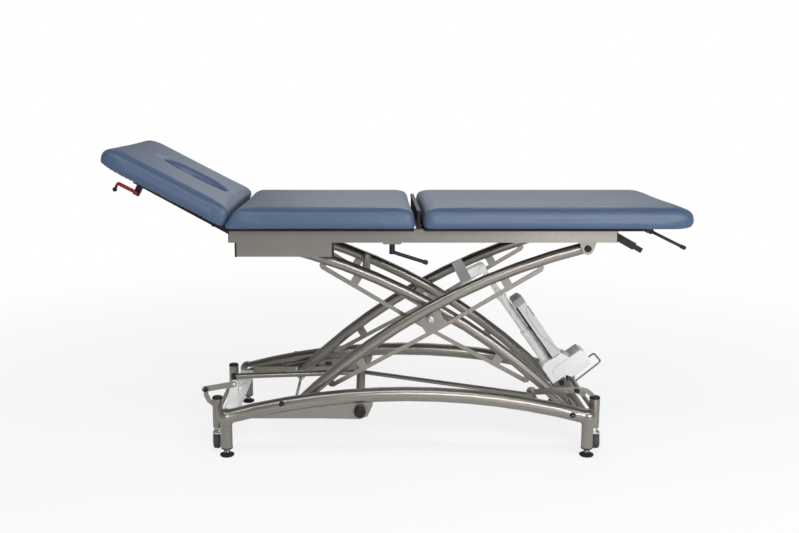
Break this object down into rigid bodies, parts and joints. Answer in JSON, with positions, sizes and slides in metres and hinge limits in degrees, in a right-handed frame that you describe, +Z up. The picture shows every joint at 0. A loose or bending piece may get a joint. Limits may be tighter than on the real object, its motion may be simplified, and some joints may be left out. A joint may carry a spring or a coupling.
{
  "type": "electric therapy couch",
  "caption": "Padded treatment couch with tilting head and leg sections on an electric scissor lift, with an arched tube base and pedal-lowered castors.",
  "frame": {"origin": "on the floor below the middle of the couch's bounding box", "axes": "+X along the couch towards the leg end, +Y away from the operator's side, +Z up"},
  "size_m": [1.9608, 0.68, 1.0773],
  "materials": {
    "frame": "warm grey metallic powder coat",
    "zinc": "zinc-plated steel",
    "chrome": "polished gas spring rod",
    "black_metal": "black painted steel",
    "black_plastic": "black moulded plastic",
    "white_plastic": "off-white moulded plastic",
    "red_plastic": "red lever",
    "upholstery": "blue-grey coated fabric with a soft sheen",
    "board": "black-faced board under the padding",
    "rubber": "black rubber"
  },
  "bodies": {
    "base": {"side_frame_near": "frame", "side_frame_far": "frame", "left_cross_member": "zinc", "right_cross_tube": "frame", "foot_left_near": "rubber", "foot_left_far": "rubber", "foot_right_near": "rubber", "foot_right_far": "rubber"},
    "foot_rocker": {"foot_rocker": "frame"},
    "arm_b": {"inner_arm_near": "frame", "inner_arm_far": "frame", "inner_arm_cross_tube": "frame"},
    "arm_a": {"outer_arm_near": "frame", "outer_arm_far": "frame", "outer_arm_cross_tube": "frame", "centre_bolt_near": "zinc", "centre_bolt_far": "zinc"},
    "top": {"top_rail_near": "frame", "top_rail_far": "frame", "top_cross_rail_left": "frame", "top_cross_rail_middle": "frame", "top_cross_rail_right": "frame", "leg_hinge_post_near": "black_metal", "leg_hinge_post_far": "black_metal", "frame_grip_bar": "black_metal", "mid_board": "board", "mid_cushion": "upholstery"},
    "top_shoes": {"top_slide_shoe_near": "black_plastic", "top_slide_shoe_far": "black_plastic"},
    "base_shoes": {"base_slide_shoes": "zinc"},
    "actuator": {"actuator_tube": "white_plastic", "motor_housing": "white_plastic", "control_box": "white_plastic"},
    "actuator_rod": {"actuator_rod": "white_plastic"},
    "lock_lever": {"lock_lever": "black_metal"},
    "head": {"head_frame": "black_metal", "head_board": "board", "head_cushion": "upholstery"},
    "head_release_lever": {"head_release_lever": "red_plastic"},
    "head_cylinder": {"head_gas_cylinder": "black_metal"},
    "head_rod": {"head_gas_rod": "chrome"},
    "leg": {"leg_frame": "black_metal", "leg_board": "board", "leg_cushion": "upholstery"},
    "leg_handle": {"leg_handle": "black_metal"},
    "leg_cylinder": {"leg_gas_cylinder": "black_metal"},
    "leg_rod": {"leg_gas_rod": "chrome"},
    "castor_left": {"castor_carriage_left": "frame"},
    "castor_right": {"castor_carriage_right": "frame"},
    "castor_lever_left": {"castor_lever_left": "frame"},
    "castor_lever_right": {"castor_lever_right": "frame"},
    "fork_left_near": {"castor_fork_left_near": "zinc"},
    "wheel_left_near": {"castor_wheel_left_near": "rubber"},
    "fork_left_far": {"castor_fork_left_far": "zinc"},
    "wheel_left_far": {"castor_wheel_left_far": "rubber"},
    "fork_right_near": {"castor_fork_right_near": "zinc"},
    "wheel_right_near": {"castor_wheel_right_near": "rubber"},
    "fork_right_far": {"castor_fork_right_far": "zinc"},
    "wheel_right_far": {"castor_wheel_right_far": "rubber"}
  },
  "joints": [
    {"name": "lift", "type": "hinge", "parent": "base", "child": "arm_b", "pos_m": [0.60172, 0, 0.144], "axis": [0, 1, 0], "range_deg": [-19.5, 4]},
    {"name": "scissor_cross", "type": "hinge", "parent": "arm_b", "child": "arm_a", "pos_m": [0.1154, 0, 0.47323], "axis": [0, 1, 0], "range_deg": [-8.1, 39.1]},
    {"name": "top_level", "type": "hinge", "parent": "arm_a", "child": "top", "pos_m": [0.64589, 0, 0.7252], "axis": [0, 1, 0], "range_deg": [-19.6, 4.1]},
    {"name": "top_shoe_level", "type": "hinge", "parent": "arm_b", "child": "top_shoes", "pos_m": [-0.41509, 0, 0.7252], "axis": [0, 1, 0], "range_deg": [-4.1, 19.6]},
    {"name": "base_shoe_level", "type": "hinge", "parent": "arm_a", "child": "base_shoes", "pos_m": [-0.37093, 0, 0.144], "axis": [0, 1, 0], "range_deg": [-19.6, 4.1]},
    {"name": "actuator_foot", "type": "hinge", "parent": "base", "child": "actuator", "pos_m": [0.62072, 0, 0.18], "axis": [0, 1, 0], "range_deg": [-26.3, 5.5]},
    {"name": "actuator_stroke", "type": "slide", "parent": "actuator", "child": "actuator_rod", "axis": [-0.5765, 0, 0.8171], "range_m": [-0.146, 0.0305]},
    {"name": "head_tilt", "type": "hinge", "parent": "top", "child": "head", "pos_m": [-0.56228, 0, 0.7794], "axis": [0, 1, 0], "range_deg": [-60, 0]},
    {"name": "head_release", "type": "hinge", "parent": "head", "child": "head_release_lever", "pos_m": [-0.89445, -0.2, 0.91243], "axis": [0, 1, 0], "range_deg": [0, 12], "stiffness_Nm_per_rad": 1, "springref_deg": -4.58},
    {"name": "head_spring_foot", "type": "hinge", "parent": "top", "child": "head_cylinder", "pos_m": [-0.25128, 0, 0.766], "axis": [0, 1, 0], "range_deg": [-14.2, 0.2]},
    {"name": "head_spring_stroke", "type": "slide", "parent": "head_cylinder", "child": "head_rod", "axis": [-0.9997, 0, 0.026], "range_m": [-0.04, 0.0005]},
    {"name": "leg_lift", "type": "hinge", "parent": "top", "child": "leg", "pos_m": [0.06839, 0, 0.85], "axis": [0, -1, 0], "range_deg": [0, 50]},
    {"name": "leg_release", "type": "hinge", "parent": "leg", "child": "leg_handle", "pos_m": [0.85869, -0.25, 0.7847], "axis": [0, -1, 0], "range_deg": [0, 12], "stiffness_Nm_per_rad": 2, "springref_deg": -8.59},
    {"name": "leg_spring_foot", "type": "hinge", "parent": "top", "child": "leg_cylinder", "pos_m": [-0.16128, 0.12, 0.755], "axis": [0, -1, 0], "range_deg": [-0.2, 12.2]},
    {"name": "leg_spring_stroke", "type": "slide", "parent": "leg_cylinder", "child": "leg_rod", "axis": [0.9903, 0, -0.1388], "range_m": [-0.0005, 0.0958]},
    {"name": "lock_turn", "type": "hinge", "parent": "top", "child": "lock_lever", "pos_m": [-0.02128, -0.271, 0.7441], "axis": [0, 0, -1], "range_deg": [0, 45]},
    {"name": "foot_rocker_tilt", "type": "hinge", "parent": "base", "child": "foot_rocker", "pos_m": [-0.13128, 0, 0.164], "axis": [0, 1, 0], "range_deg": [-1, 1], "stiffness_Nm_per_rad": 900},
    {"name": "castor_left_drop", "type": "slide", "parent": "base", "child": "castor_left", "axis": [0, 0, -1], "range_m": [0, 0.015]},
    {"name": "castor_left_lever", "type": "hinge", "parent": "base", "child": "castor_lever_left", "pos_m": [-0.57928, -0.2005, 0.228], "axis": [0, -1, 0], "range_deg": [-0.1, 8.7]},
    {"name": "swivel_left_near", "type": "hinge", "parent": "castor_left", "child": "fork_left_near", "pos_m": [-0.63828, -0.21, 0.074], "axis": [0, 0, 1], "continuous": true},
    {"name": "roll_left_near", "type": "hinge", "parent": "fork_left_near", "child": "wheel_left_near", "pos_m": [-0.63828, -0.238, 0.031], "axis": [1, 0, 0], "continuous": true},
    {"name": "swivel_left_far", "type": "hinge", "parent": "castor_left", "child": "fork_left_far", "pos_m": [-0.63828, 0.21, 0.074], "axis": [0, 0, 1], "continuous": true},
    {"name": "roll_left_far", "type": "hinge", "parent": "fork_left_far", "child": "wheel_left_far", "pos_m": [-0.63828, 0.182, 0.031], "axis": [1, 0, 0], "continuous": true},
    {"name": "castor_right_drop", "type": "slide", "parent": "base", "child": "castor_right", "axis": [0, 0, -1], "range_m": [0, 0.015]},
    {"name": "castor_right_lever", "type": "hinge", "parent": "base", "child": "castor_lever_right", "pos_m": [0.47872, -0.2005, 0.2], "axis": [0, 1, 0], "range_deg": [-0.1, 5.5]},
    {"name": "swivel_right_near", "type": "hinge", "parent": "castor_right", "child": "fork_right_near", "pos_m": [0.70272, -0.21, 0.074], "axis": [0, 0, 1], "continuous": true},
    {"name": "roll_right_near", "type": "hinge", "parent": "fork_right_near", "child": "wheel_right_near", "pos_m": [0.70272, -0.238, 0.031], "axis": [1, 0, 0], "continuous": true},
    {"name": "swivel_right_far", "type": "hinge", "parent": "castor_right", "child": "fork_right_far", "pos_m": [0.70272, 0.21, 0.074], "axis": [0, 0, 1], "continuous": true},
    {"name": "roll_right_far", "type": "hinge", "parent": "fork_right_far", "child": "wheel_right_far", "pos_m": [0.70272, 0.182, 0.031], "axis": [1, 0, 0], "continuous": true}
  ],
  "couplings": [
    {"joint": "scissor_cross", "follows": "lift", "ratio": -2},
    {"joint": "top_level", "follows": "lift", "ratio": 1},
    {"joint": "top_shoe_level", "follows": "lift", "ratio": -1},
    {"joint": "base_shoe_level", "follows": "lift", "ratio": 1},
    {"joint": "actuator_foot", "follows": "lift", "ratio": 1.3234},
    {"joint": "actuator_stroke", "follows": "lift", "m_per_rad": 0.4075},
    {"joint": "head_spring_foot", "follows": "head_tilt", "ratio": 0.23185},
    {"joint": "head_spring_stroke", "follows": "head_tilt", "m_per_rad": 0.037307},
    {"joint": "leg_spring_foot", "follows": "leg_lift", "ratio": 0.23751},
    {"joint": "leg_spring_stroke", "follows": "leg_lift", "m_per_rad": 0.10875},
    {"joint": "castor_left_lever", "follows": "castor_left_drop", "rad_per_m": 9.9},
    {"joint": "castor_right_lever", "follows": "castor_right_drop", "rad_per_m": 6.25}
  ]
}
